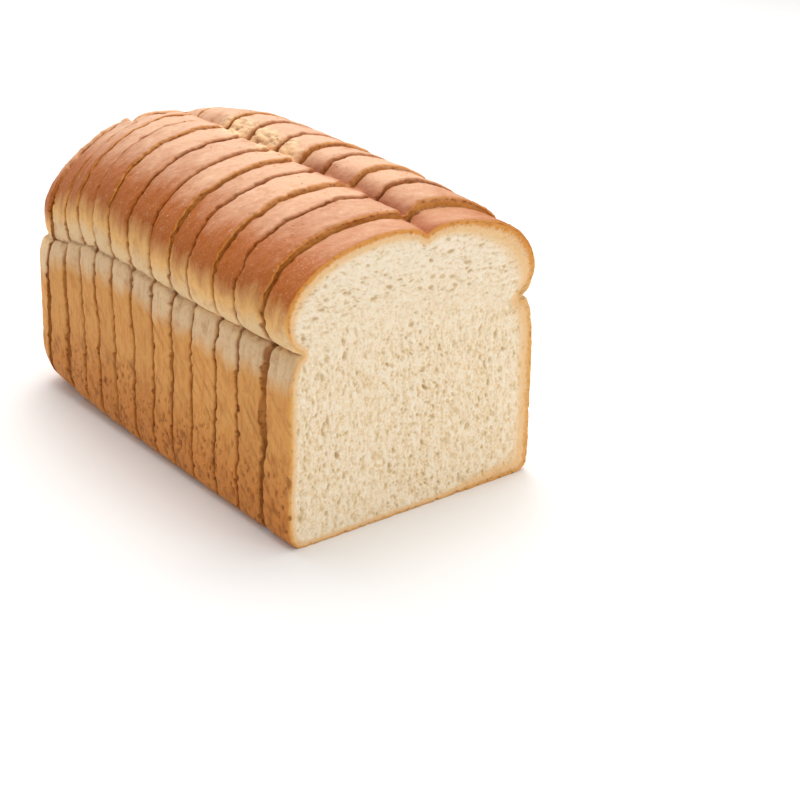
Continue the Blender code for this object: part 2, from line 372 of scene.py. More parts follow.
def on_curve(points, places):
    """Points on the smooth closed curve through the given ones, at places counted in them."""
    count = len(points)
    steps = np.roll(points, -1, axis=0) - points
    lengths = np.linalg.norm(steps, axis=1)[:, None]
    before = np.roll(lengths, 1, axis=0)
    slopes = steps / lengths
    tangents = (np.roll(slopes, 1, axis=0) * lengths + slopes * before) / (lengths + before)
    first = np.floor(places).astype(int) % count
    part = (places - np.floor(places))[:, None]
    start, end = points[first], points[(first + 1) % count]
    leave = tangents[first] * lengths[first]
    arrive = tangents[(first + 1) % count] * lengths[first]
    return (start * (1 - 3 * part ** 2 + 2 * part ** 3) + end * (3 * part ** 2 - 2 * part ** 3)
            + leave * (part - 2 * part ** 2 + part ** 3) + arrive * (part ** 3 - part ** 2))


def even_places(points, step):
    """Places along a closed curve about step mm apart."""
    count = len(points)
    dense = np.linspace(0, count, count * 16 + 1)
    curve = on_curve(points, dense % count)
    run = np.concatenate([[0.0], np.cumsum(np.linalg.norm(np.diff(curve, axis=0), axis=1))])
    number = int(round(run[-1] / step))
    return np.interp(np.arange(number) * run[-1] / number, run, dense) % count


def outward(loop):
    """Unit vectors across a loop's line, pointing out of it, level with the cut face."""
    along = np.roll(loop, -1, axis=0) - np.roll(loop, 1, axis=0)
    across = np.stack([along[:, 2], np.zeros(len(loop)), -along[:, 0]], axis=1)
    return across / np.linalg.norm(across, axis=1)[:, None]


def rim_height(loop):
    """Height of the rim, the pinch between the wall and the dome."""
    near = loop[(loop[:, 2] > RIM_ZONE[0]) & (loop[:, 2] < RIM_ZONE[1])]
    sides = [near[near[:, 0] < 0], near[near[:, 0] > 0]]
    return float(np.mean([side[np.argmin(abs(side[:, 0]))][2] for side in sides]))


def split_place(loop):
    """Place across the loaf of the split, the dip between the two lobes."""
    top = loop[(loop[:, 2] > SPLIT_ABOVE) & (abs(loop[:, 0]) < SPLIT_REACH)]
    bends = top[:, 2] + CROWN_BEND * top[:, 0] ** 2
    return float(top[np.argmin(bends)][0])


# ---------------------------------------------------------------- relief

def crust_relief(points, rise, split, looks):
    """Height of the crust's relief in mm, its painted shade in pits, hollows and the rim's crease, and
    how torn it is, from 0 to 1.

    rise is the height above the rim, and split is the place across the loaf of the split."""
    length = points[:, 1] - LOAF_LOW[1] / MM
    wall = 1 - ramp_up(-14.0, -9.0, rise)
    low = 1 - ramp_up(-60.0, -32.0, rise + 7 * soft_noise(points, 11.0, 3))
    band = ramp_up(-15.0, -8.0, rise + 2 * soft_noise(points, 4.0, 5))
    band = band * (1 - ramp_up(-1.0, 1.5, rise))
    lip = ramp_up(-0.5, 2.0, rise) * (1 - ramp_up(9.0, 17.0, rise))
    dome = ramp_up(10.0, 22.0, rise)

    # Soft lumps everywhere, and finer wrinkles where the crown dried and shrank.
    height = looks.lump_height / MM * rough_noise(points, 10.0, 11)
    height += dome * (0.34 * rough_noise(points, (5.0, 3.2, 5.0), 23)
                      + 0.09 * soft_noise(points, 1.2, 29))
    # Streaks that lean forward and down where the dough slid up the tin.
    slide = np.stack([points[:, 0] * 0.2, points[:, 1] * 0.69 - points[:, 2] * 0.72,
                      points[:, 1] * 0.72 + points[:, 2] * 0.69], axis=1)
    streak = rough_noise(slide, (8.0, 1.7, 15.0), 31)
    height += wall * (0.21 * streak + 0.05 * soft_noise(points, 0.9, 37))
    # Pits low on the wall, where steam was caught against the tin.
    small_pits = pores(points, (2.4, 1.9, 3.2), 41, 0.75, 0.20, 0.50, flat=False)
    large_pits = pores(points + 5.0, (5.5, 4.2, 7.5), 47, 0.50, 0.16, 0.36, flat=False)
    # Painted shade inside the pits.
    pitted = np.maximum(small_pits * low, large_pits * np.clip(low * 1.1, 0, 1))
    grain = rough_noise(points, (2.2, 1.6, 3.4), 53)
    height += low * 0.24 * grain - looks.pit_depth / MM * pitted
    # The torn band under the rim, drawn out upwards, and the crease of the rim itself.
    tear = rough_noise(points, (4.0, 1.3, 9.0), 59)
    height += band * looks.tear_height / MM * (tear + 0.35 * soft_noise(points, (3.0, 5.0, 1.4), 61))
    height += lip * 0.10 * rough_noise(points, (4.0, 1.8, 7.0), 67)
    crease = np.exp(-((rise + 1.5 * rough_noise(points, 3.2, 71)) / 0.5) ** 2)
    height -= crease * (0.45 + 0.55 * soft_noise(points, (5.0, 2.2, 5.0), 73))
    # The split: the left lobe ends in a lip and the right one dips below it.
    beyond = points[:, 0] - split + 1.3 * soft_noise(points, (30.0, 9.0, 30.0), 75)
    in_split = ramp_up(24.0, 31.0, rise) * (0.3 + 0.7 * ramp_up(3.0, 22.0, length))
    dip = ramp_up(-0.6, 1.3, beyond) * np.exp(-(np.maximum(beyond, 0.0) / 4.6) ** 2)
    height += in_split * (0.8 * np.exp(-((beyond + 1.6) / 1.9) ** 2) - 2.3 * dip)
    # The torn patch in the split.
    beside = points[:, 0] - split - 3.0 + 3.0 * soft_noise(points, (9.0, 7.0, 9.0), 79)
    torn = (np.exp(-(beside / 7.0) ** 4) * ramp_up(TORN_START, TORN_START + 14.0, length)
            * (1 - ramp_up(TORN_END - 16.0, TORN_END, length)) * ramp_up(25.0, 32.0, rise))
    torn = torn * ramp_up(-0.35, 0.15, rough_noise(points, (6.0, 8.0, 6.0), 81) + 0.6 * torn - 0.2)
    shred = rough_noise(points, (1.5, 4.0, 1.5), 83)
    holes = pores(points, (1.7, 2.4, 1.7), 89, 0.6, 0.2, 0.5, flat=False)
    height += torn * (0.8 * shred + 0.25 - 0.7 * holes)
    # Painted shade in the holes and low shreds of the torn patch.
    pitted = np.maximum(pitted, torn * np.clip(np.maximum(0.6 * holes, -0.1 - 1.5 * shred), 0, 0.8))
    # Painted shade in the hollows: the low grain and streaks of the wall, the torn band's recesses and
    # the rim's crease.
    shade_in_hollows = np.clip(1.2 * low * (0.1 - grain) + 0.8 * wall * (-streak - 0.1), 0, 0.7)
    shade_in_hollows = np.maximum(shade_in_hollows, band * np.clip(-tear - 0.1, 0, 1) * 0.55)
    shade_in_hollows = np.maximum(shade_in_hollows, crease * np.clip(0.2 + 0.9 * tear, 0, 0.6))
    return height, np.clip(np.maximum(pitted, shade_in_hollows), 0, 1), np.clip(torn, 0, 1)


def crumb_relief(points, looks):
    """Depth of the crumb's relief in mm, into the slice, and its painted shade: how much of a pore
    each point is, below 0 on raised strands, which get a painted highlight.
    """
    x, z = points[:, 0], points[:, 2]
    flat = np.stack([x, np.zeros(len(x)), z], axis=1)
    bent = flat + 1.1 * np.stack([soft_noise(flat, 6.0, 101), np.zeros(len(x)),
                                  soft_noise(flat, 6.0, 103)], axis=1)
    # Cells are drawn out along the nearest crust: level under the crown, upright at the sides.
    level = ramp_up(70.0, 98.0, z + 0.10 * abs(x) + 5 * soft_noise(flat, 16.0, 107))
    upright = (1 - level) * ramp_up(8.0, 34.0, abs(x) + 5 * soft_noise(flat, 14.0, 109))
    plain = np.clip(1 - level - upright, 0, 1)

    def drawn(size, seed, share, smallest, largest, stretch):
        lying = pores(bent, (size * stretch, 1.0, size), seed, share, smallest, largest)
        standing = pores(bent, (size, 1.0, size * stretch), seed + 5, share, smallest, largest)
        leaning = pores(np.stack([bent[:, 0] * 0.8 + bent[:, 2] * 0.6, bent[:, 1],
                                  bent[:, 2] * 0.8 - bent[:, 0] * 0.6], axis=1),
                        (size, 1.0, size * (0.5 + stretch / 2)), seed + 9, share, smallest, largest)
        return level * lying + upright * standing + plain * leaning

    fine = drawn(1.3, 113, 0.85, 0.25, 0.55, 1.8)
    middling = drawn(2.6, 131, 0.50, 0.20, 0.44, 2.0)
    large = drawn(8.5, 149, 0.22, 0.09, 0.17, 1.5)
    wisp_lying = rough_noise(bent, (2.8, 1.0, 1.0), 163)
    wisp_standing = rough_noise(bent, (1.0, 1.0, 2.8), 167)
    wisp = level * wisp_lying + (1 - level) * wisp_standing
    depth = (0.26 * fine + 0.42 * middling + looks.pore_depth / MM * large
             + 0.26 * wisp + 0.12 * rough_noise(flat, 2.0, 173))
    # Painted shade in the pores, and a painted highlight below 0 where the strands stand out.
    shade = np.clip(0.45 * fine + 0.75 * middling + 0.9 * large + 0.65 * wisp - 0.18, -1, 1)
    return depth, shade


def edge_shift(points, cut, into, looks):
    """How far the edge of a cut lies from its plane, in mm. Both sides of a cut wander
    together, and each loses bits of its own; into is 1 or -1, towards its slice."""
    level = points * np.array([1.0, 0.0, 1.0])
    calm = 0.0 if cut == 0 else 1.0
    wander = calm * looks.wander / MM * (soft_noise(level, 9.0, 200 + cut)
                                         + 0.8 * soft_noise(level, 2.4, 240 + cut))
    on_wall = 1 - ramp_up(66.0, 90.0, points[:, 2])
    uneven = np.clip(0.65 + 0.9 * soft_noise(level, 15.0, 260 + cut), 0.15, 1.2)
    above_rim = 0.65 if cut in REAR_CUTS else 0.25
    opening = CUT_WIDTHS[cut] / 2 * uneven * (above_rim + (1 - above_rim) * on_wall)
    torn_bits = ramp_up(0.22, 0.62, rough_noise(level, (3.4, 1.0, 3.0), 280 + 2 * cut + into))
    torn_bits = torn_bits * (1 - 0.6 * ramp_up(84.0, 100.0, points[:, 2]))
    ragged = (0.34 if cut == 0 else 0.55) * rough_noise(level, 1.8, 320 + 2 * cut + into)
    bite_depth = looks.bite / MM * (0.35 if cut == 0 else 1.0)
    return wander + into * (opening + bite_depth * torn_bits) + ragged


# ---------------------------------------------------------------- meshes

class MeshParts:
    """Corners, triangles and values of a piece while it grows."""

    def __init__(self, tone):
        self.corners = []
        self.values = {"rise": [], "depth": [], "pitted": [], "torn": [], "pore": [], "valley": [],
                       "seam": [], "tone": []}
        self.triangles = []
        self.count = 0
        self.tone = tone

    def add(self, corners, **values):
        """Adds a ring of corners with their values and returns their numbers."""
        numbers = np.arange(self.count, self.count + len(corners))
        self.count += len(corners)
        self.corners.append(corners)
        values["tone"] = self.tone
        for name, held in self.values.items():
            held.append(np.broadcast_to(values.get(name, 0.0), (len(corners),)))
        return numbers

    def band(self, near, far):
        """Triangles between two rings of the same number of corners."""
        near_next = np.roll(near, -1)
        far_next = np.roll(far, -1)
        self.triangles.append(np.stack([near, far, far_next], axis=1))
        self.triangles.append(np.stack([near, far_next, near_next], axis=1))

    def zip_rings(self, outer, inner, outer_turns, inner_turns, flip):
        """Triangles from a ring to a smaller one inside it, in the order of their turns."""
        steps = []
        for turns in (outer_turns, inner_turns):
            following = np.append(turns[1:], turns[0] + 2 * math.pi)
            steps.append((turns + following) / 2)
        order = np.argsort(np.concatenate(steps), kind="stable")
        on_outer = order < len(outer)
        i = np.cumsum(on_outer) - on_outer
        j = np.cumsum(~on_outer) - ~on_outer
        third = np.where(on_outer, outer[(i + 1) % len(outer)], inner[(j + 1) % len(inner)])
        made = np.stack([outer[i % len(outer)], third, inner[j % len(inner)]], axis=1)
        self.triangles.append(made[:, ::-1] if flip else made)

    def close(self, ring, tip, flip):
        """A fan from a small ring to one corner."""
        fan = np.stack([ring, np.roll(ring, -1), np.full(len(ring), tip[0])], axis=1)
        self.triangles.append(fan[:, ::-1] if flip else fan)

    def build(self, name, material):
        """The finished piece, in metres, with its values as attributes."""
        mesh = bpy.data.meshes.new(name)
        corners = np.concatenate(self.corners) * MM
        mesh.from_pydata(corners, [], np.concatenate(self.triangles))
        for value_name, held in self.values.items():
            attribute = mesh.attributes.new(value_name, "FLOAT", "POINT")
            attribute.data.foreach_set("value", np.concatenate(held).astype(np.float32))
        mesh.materials.append(material)
        mesh.shade_smooth()
        piece = bpy.data.objects.new(name, mesh)
        bpy.context.scene.collection.objects.link(piece)
        return piece


def turns_about(points, hub, start):
    """Angle of each point about a hub, rising from the first point, which is near start."""
    turns = np.arctan2(points[:, 0] - hub[0], hub[2] - points[:, 2])
    first = start + (turns[0] - start + math.pi) % (2 * math.pi) - math.pi
    turns = np.unwrap(turns) - turns[0] + first
    return np.maximum.accumulate(turns)


def evened(ring):
    """A closed ring with its points spread evenly along it."""
    closed = np.concatenate([ring, ring[:1]])
    run = np.concatenate([[0.0], np.cumsum(np.linalg.norm(np.diff(closed, axis=0), axis=1))])
    places = np.interp(np.arange(len(ring)) * run[-1] / len(ring), run, np.arange(len(ring) + 1))
    first = np.floor(places).astype(int)
    part = (places - first)[:, None]
    return closed[first] * (1 - part) + closed[first + 1] * part


def resample(ring, number):
    """A closed ring of values or points thinned to a number of evenly counted ones."""
    places = np.arange(number) * len(ring) / number
    first = np.floor(places).astype(int)
    part = places - first
    if ring.ndim == 2:
        part = part[:, None]
    return ring[first] * (1 - part) + ring[(first + 1) % len(ring)] * part


def face_rings(parts, edge, edge_ring, normals, shift, towards, rim, looks, shown, proud=False):
    """A cut face from its edge inwards. towards is -1 for a face that looks forward, shown is
    for the one with nothing in front of it, and proud for one whose edge stands proud."""
    into = -towards
    height = edge[:, 2]
    lean, place = np.polyfit(height, edge[:, 1], 1)
    middle = np.array(FACE_HUB)
    crumb = looks[1]
    inset_rings = [(edge - normals * inset, inset, 1.0) for inset in SKIN_RINGS]
    last = evened(inset_rings[-1][0] * [1, 0, 1])
    reach = np.linalg.norm(last - middle, axis=1).mean()
    rounder = last
    nearby = range(-ROUNDING_REACH, ROUNDING_REACH + 1)
    for _ in range(ROUNDING_PASSES):
        rounder = sum(np.roll(rounder, step, axis=0) for step in nearby) / len(nearby)
    insets = HIDDEN_RINGS
    if shown:
        first_inset = SKIN_RINGS[-1] + SHOWN_FACE_STEP
        insets = np.arange(first_inset, SKIN_RINGS[-1] + reach - 0.6, SHOWN_FACE_STEP)
    rings = list(inset_rings)
    for inset in insets:
        size = 1 - (inset - SKIN_RINGS[-1]) / reach
        share = ramp_up(SKIN_RINGS[-1], ROUND_FROM, inset)
        rings.append((middle + (last + (rounder - last) * share - middle) * size, inset, size))
    outer = edge_ring
    start = turns_about(edge, middle, 0.0)[0]
    outer_turns = turns_about(edge, middle, start)
    for points, inset, size in rings:
        if shown:
            fineness = 1.0 if inset < 3 else size * AROUND_STEP / SHOWN_FACE_STEP
        else:
            fineness = size / (1 + 0.55 * max(inset - 1.0, 0.0))
        number = max(FEWEST_CORNERS, int(round(len(edge) * fineness)))
        ring = resample(points, number)
        rise = ring[:, 2] - rim
        inner_turns = turns_about(ring, middle, start)
        carried = resample(shift, number) * math.exp(-inset / (FACE_SWAY if shown else EDGE_SWAY))
        ring[:, 1] = place + lean * ring[:, 2] + carried
        depth, shade = crumb_relief(ring, crumb)
        fade = ramp_up(0.3, 3.2, inset)
        skin = rough_noise(ring, 0.9, 401) * 0.22 * (1 - fade)
        holes = pores(ring + 3.0, 1.7, 409, 0.6, 0.2, 0.5) * (1 - fade)
        ring[:, 1] += into * (depth * (0.15 + 0.85 * fade) + skin + 0.5 * holes)
        on_crown = ramp_up(3.0, 20.0, rise)
        crust_width = 0.75 + 0.60 * on_crown + 1.3 * ramp_up(8.0, 50.0, ring[:, 0])
        # Inside a cut the crust colour reaches further in and gets painted shade, less on the crown
        # behind a proud edge.
        browned = 0.0
        if not shown:
            crust_width += 3.5 - 1.2 * on_crown * proud
            browned = SHADED_CUT * (1 - 0.9 * on_crown * proud * math.exp(-inset / 4.0))
        # Painted shade in the holes of the cut crust.
        numbers = parts.add(ring, rise=rise, depth=inset / crust_width, pore=shade * fade,
                            pitted=0.45 * holes, seam=browned)
        parts.zip_rings(outer, numbers, outer_turns, inner_turns, flip=towards > 0)
        outer, outer_turns = numbers, inner_turns
    tip = ring.mean(axis=0)[None, :]
    tip_number = parts.add(tip, rise=tip[:, 2] - rim, depth=50.0)
    parts.close(outer, tip_number, flip=towards > 0)


def split_shade_at(points, split, rise):
    """Painted shade in the split at each point, from 0 to 1, by how deep in the split it lies; the
    right lobe leans into it.
    """
    beside = points[:, 0] - split
    near = np.where(beside < 0, np.exp(-(beside / 2.2) ** 2), np.exp(-(beside / 6.0) ** 2))
    length = points[:, 1] - LOAF_LOW[1] / MM
    before_torn = 1 - ramp_up(TORN_START - 10.0, TORN_START + 10.0, length)
    return near * ramp_up(22.0, 30.0, rise) * before_torn


def across_rows(thickness):
    """Places from 0 to 1 through a slice, closer together at its two edges."""
    inner = thickness - 2 * EDGE_ROWS[-1]
    number = max(2, int(round(inner / ACROSS_STEP)))
    middle = EDGE_ROWS[-1] + inner * np.arange(1, number) / number
    rows = list(EDGE_ROWS) + list(middle) + [thickness - row for row in reversed(EDGE_ROWS)]
    return np.array(rows) / thickness


def make_slice(node, number, looks, material):
    """One slice: its crust between two cut edges, and its two cut faces."""
    corners, triangles = frame_mesh(node)
    front_cage = cut_loop(corners, triangles, -1)
    rear_cage = cut_loop(corners, triangles, 1)
    places = even_places((front_cage + rear_cage) / 2, AROUND_STEP)
    front = on_curve(front_cage, places)
    rear = on_curve(rear_cage, places)
    normals = outward((front + rear) / 2)
    rim_front, rim_rear = rim_height(front_cage), rim_height(rear_cage)
    split = split_place((front + rear) / 2)
    thickness = float(np.mean(rear[:, 1] - front[:, 1]))
    shift_front = edge_shift(front, number, 1, looks[0])
    shift_rear = edge_shift(rear, number + 1, -1, looks[0])

    parts = MeshParts(TONES[number % len(TONES)])
    rings = []
    edges = []
    lift_front = 0.0
    if number in PROUD_CUTS:
        lift_front = REAR_LIFT if number in REAR_CUTS else PROUD_LIFT
    lift_rear = -PROUD_DROP if number + 1 in PROUD_CUTS else 0.0
    for part in across_rows(thickness):
        ring = front * (1 - part) + rear * part
        rim = rim_front * (1 - part) + rim_rear * part
        rise = ring[:, 2] - rim
        from_edge = min(part, 1 - part) * thickness
        swell = EDGE_INSET * (1 - (1 - min(from_edge / EDGE_LENGTH, 1.0)) ** 2)
        at_rim = np.exp(-((rise + 3.0) / 7.0) ** 2)
        pillow = (0.12 + 0.75 * at_rim) * ((4 * part * (1 - part)) ** 0.6 - 0.6)
        if number > 0 or part > 0.5:
            pillow = pillow - 0.25 * math.exp(-from_edge / 0.45)
        lift = (lift_front * (1 - part) ** 2 + lift_rear * part ** 2) * ramp_up(6.0, 22.0, rise)
        height, pitted, torn = crust_relief(ring, rise, split, looks[0])
        nearer_cut = number if part < 0.5 else number + 1
        edge_gold = EDGE_GOLD if nearer_cut in (0, *PROUD_CUTS) else EDGE_DULL
        proud_edge = part < 0.5 and number in PROUD_CUTS
        on_crown = ramp_up(3.0, 20.0, rise)
        # Painted shade along the cut edges, but not on the crown at the front edge of a proud slice.
        seam = EDGE_CUT_SHADE * math.exp(-from_edge / CUT_SHADE_FADE) * (nearer_cut > 0)
        seam = seam * (1 - on_crown * proud_edge)
        resting = ramp_up(0.5, 4.0, ring[:, 2])
        ring = ring + normals * (swell + lift + (height + pillow) * resting)[:, None]
        ring[:, 2] = np.maximum(ring[:, 2], 0.0)
        ring[:, 1] += (shift_front * math.exp(-part * thickness / EDGE_SWAY)
                       + shift_rear * math.exp(-(1 - part) * thickness / EDGE_SWAY))
        numbers = parts.add(ring, rise=rise, pitted=pitted, torn=torn,
                            depth=edge_gold * math.exp(-from_edge / EDGE_FADE), seam=seam,
                            valley=split_shade_at(ring, split, rise))
        if rings:
            parts.band(rings[-1], numbers)
        rings.append(numbers)
        edges.append(ring)
    face_rings(parts, edges[0] * [1, 0, 1] + front * [0, 1, 0], rings[0], normals, shift_front, -1,
               rim_front, looks, shown=number == 0, proud=number in PROUD_CUTS)
    face_rings(parts, edges[-1] * [1, 0, 1] + rear * [0, 1, 0], rings[-1], normals, shift_rear, 1,
               rim_rear, looks, shown=False)
    return parts.build(f"{node}_bread", material)


def heel_cage(corners, triangles):
    """The rings of the heel in the frame, from its cut edge inwards, and its tip."""
    neighbours = [set() for _ in corners]
    for tri in triangles.tolist():
        for number in tri:
            neighbours[number].update(tri)
    loop = cut_loop(corners, triangles, -1)
    index = {tuple(corner): number for number, corner in enumerate(corners.tolist())}
    ring = [index[tuple(point)] for point in loop.tolist()]
    used = set(ring)
    rings = [loop]
    while True:
        beyond = set().union(*(neighbours[number] for number in ring)) - used
        if len(beyond) < 3:
            return rings, corners[beyond.pop()]
        used |= beyond
        ring = np.array(sorted(beyond))
        # Known fault: the innermost ring lies below HUB_HEIGHT and comes out of order, and so do
        # two corners of the next one. The faces at the middle of the heel's end are folded there.
        ring = ring[np.argsort(turn_of(corners[ring]))]
        rings.append(corners[ring])


def ring_size(ring):
    """Mean distance of a ring's points from its middle, across the loaf."""
    return np.linalg.norm((ring - ring.mean(axis=0))[:, [0, 2]], axis=1).mean()


def make_heel(looks, material, number):
    """The heel: crust all round its end, and one cut face."""
    corners, triangles = frame_mesh(HEEL)
    cage, tip = heel_cage(corners, triangles)
    places = even_places(cage[0], AROUND_STEP)
    fine = np.stack([on_curve(ring, places) for ring in cage])
    count = len(places)
    tips = np.broadcast_to(tip, (1, count, 3))
    line = np.concatenate([fine, tips])
    steps = np.linalg.norm(np.diff(line, axis=0), axis=2).mean(axis=1)
    run = np.concatenate([[0.0], np.cumsum(steps)])
    rows = list(EDGE_ROWS) + list(np.arange(EDGE_ROWS[-1] + HEEL_STEP, run[-1] - 0.8, HEEL_STEP))
    knots = np.interp(rows, run, np.arange(len(run)))
    rim = rim_height(cage[0])
    hub = np.array([0.0, 0.0, rim])
    split = split_place(cage[0])
    shift = edge_shift(fine[0], number, 1, looks[0])

    smooth = []
    for knot in knots:
        first = min(int(knot), len(line) - 2)
        part = knot - first
        a = line[max(first - 1, 0)]
        b, c = line[first], line[first + 1]
        d = line[min(first + 2, len(line) - 1)]
        smooth.append(0.5 * (2 * b + (c - a) * part + (2 * a - 5 * b + 4 * c - d) * part ** 2
                             + (3 * b - a - 3 * c + d) * part ** 3))
    grid = np.stack(smooth)
    around = np.roll(grid, -1, axis=1) - np.roll(grid, 1, axis=1)
    down = np.gradient(grid, axis=0)
    normals = np.cross(down, around)
    normals /= np.maximum(np.linalg.norm(normals, axis=2), 1e-9)[:, :, None]

    parts = MeshParts(HEEL_TONE)
    whole = ring_size(grid[0])
    outer = None
    for row, (ring, out) in enumerate(zip(grid, normals)):
        wanted = count
        if row >= HEEL_FINE_ROWS:
            wanted = int(round(count * ring_size(ring) / whole * AROUND_STEP / HEEL_STEP))
        wanted = max(FEWEST_CORNERS, min(count, wanted))
        points = resample(ring, wanted)
        away = resample(out, wanted)
        rise = points[:, 2] - rim
        height, pitted, _ = crust_relief(points, rise, split, looks[0])
        resting = ramp_up(0.5, 4.0, points[:, 2])
        lift = REAR_LIFT * math.exp(-rows[row] / 5.0) * ramp_up(6.0, 22.0, rise)
        points = points + away * (lift + height * resting)[:, None]
        points[:, 2] = np.maximum(points[:, 2], 0.0)
        points[:, 1] += resample(shift, wanted) * math.exp(-rows[row] / EDGE_SWAY)
        darker_rise = rise + HEEL_BAKE * ramp_up(-2.0, 6.0, rise)
        # Painted shade along the heel's cut edge, below the crown.
        seam = EDGE_CUT_SHADE * math.exp(-rows[row] / HEEL_CUT_SHADE_FADE) * (1 - ramp_up(3.0, 20.0, rise))
        numbers = parts.add(points, rise=darker_rise, pitted=pitted, seam=seam,
                            depth=EDGE_GOLD * math.exp(-rows[row] / EDGE_FADE))
        inner_turns = turns_about(points, hub, 0.6)
        if outer is None:
            edge = points * [1, 0, 1] + fine[0] * [0, 1, 0]
            edge_numbers = numbers
        elif len(outer) == len(numbers):
            parts.band(outer, numbers)
        else:
            parts.zip_rings(outer, numbers, outer_turns, inner_turns, flip=True)
        outer, outer_turns = numbers, inner_turns
    tip_number = parts.add(tip[None, :], rise=tip[2] - rim)
    parts.close(outer, tip_number, flip=True)
    face_rings(parts, edge, edge_numbers, outward(grid[0]), shift, -1, rim, looks, shown=False,
               proud=True)
    return parts.build("heel_bread", material)


# ---------------------------------------------------------------- materials

def node(tree, kind, inputs=None, **settings):
    """Adds a node with its settings; inputs maps a socket to a value or to another output."""
    made = tree.nodes.new(kind)
    for name, value in settings.items():
        setattr(made, name, value)
    for socket, value in (inputs or {}).items():
        if isinstance(value, bpy.types.NodeSocket):
            tree.links.new(value, made.inputs[socket])
        else:
            made.inputs[socket].default_value = value
    return made


def new_material(name):
    """An empty node material with its Principled shader and tree."""
    material = bpy.data.materials.new(name)
    material.use_nodes = True
    tree = material.node_tree
    return material, tree, tree.nodes["Principled BSDF"]


def value_of(tree, name):
    return node(tree, "ShaderNodeAttribute", attribute_name=name).outputs["Fac"]


def maths(tree, operation, first, second=0.0, third=0.0):
    values = {0: first, 1: second, 2: third}
    return node(tree, "ShaderNodeMath", values, operation=operation).outputs[0]


def spread_linear(tree, value, low, high):
    """0 at low and 1 at high, straight between them."""
    values = {"Value": value, "From Min": low, "From Max": high}
    return node(tree, "ShaderNodeMapRange", values).outputs["Result"]


def spread(tree, value, low, high, out_low=0.0, out_high=1.0):
    """out_low at low and out_high at high, smooth between them."""
    values = {"Value": value, "From Min": low, "From Max": high,
              "To Min": out_low, "To Max": out_high}
    made = node(tree, "ShaderNodeMapRange", values, interpolation_type="SMOOTHSTEP")
    return made.outputs["Result"]


def blend_values(tree, share, first, second):
    mixer = node(tree, "ShaderNodeMix", {0: share, 2: first, 3: second}, data_type="FLOAT")
    return mixer.outputs[0]


def blend_colours(tree, share, first, second, mode="MIX"):
    mixer = node(tree, "ShaderNodeMix", data_type="RGBA", blend_type=mode, clamp_factor=True)
    for socket, value in ((0, share), (6, first), (7, second)):
        if isinstance(value, bpy.types.NodeSocket):
            tree.links.new(value, mixer.inputs[socket])
        else:
            mixer.inputs[socket].default_value = value if socket == 0 else (*value, 1.0)
    return mixer.outputs[2]


def noise_texture(tree, place, size, detail=3.0, roughness=0.55):
    """Noise from 0 to 1 whose features are size metres wide."""
    values = {"Vector": place, "Scale": 1 / size, "Detail": detail, "Roughness": roughness}
    return node(tree, "ShaderNodeTexNoise", values).outputs["Fac"]


def stretched(tree, place, factors, turn=(0.0, 0.0, 0.0)):
    values = {"Vector": place, "Rotation": turn, "Scale": factors}
    return node(tree, "ShaderNodeMapping", values).outputs[0]


def crust_colour(tree, place, looks, rise):
    """Colour of the outside of the crust from its height above the rim."""
    mottle = noise_texture(tree, stretched(tree, place, (1.0, 1.6, 0.5)), 0.012, 4.0, 0.65)
    centred = maths(tree, "ADD", rise, -BAKE_STRAY / 2)
    strayed = maths(tree, "MULTIPLY_ADD", mottle, BAKE_STRAY, centred)
    ramp = node(tree, "ShaderNodeValToRGB", {0: spread_linear(tree, strayed, BAKE_LOW, BAKE_HIGH)})
    elements = ramp.color_ramp.elements
    while len(elements) < len(BAKE):
        elements.new(0.5)
    for element, (height, finish) in zip(elements, BAKE):
        element.position = (height - BAKE_LOW) / (BAKE_HIGH - BAKE_LOW)
        element.color = (*getattr(looks, finish), 1.0)
    return ramp.outputs["Color"]


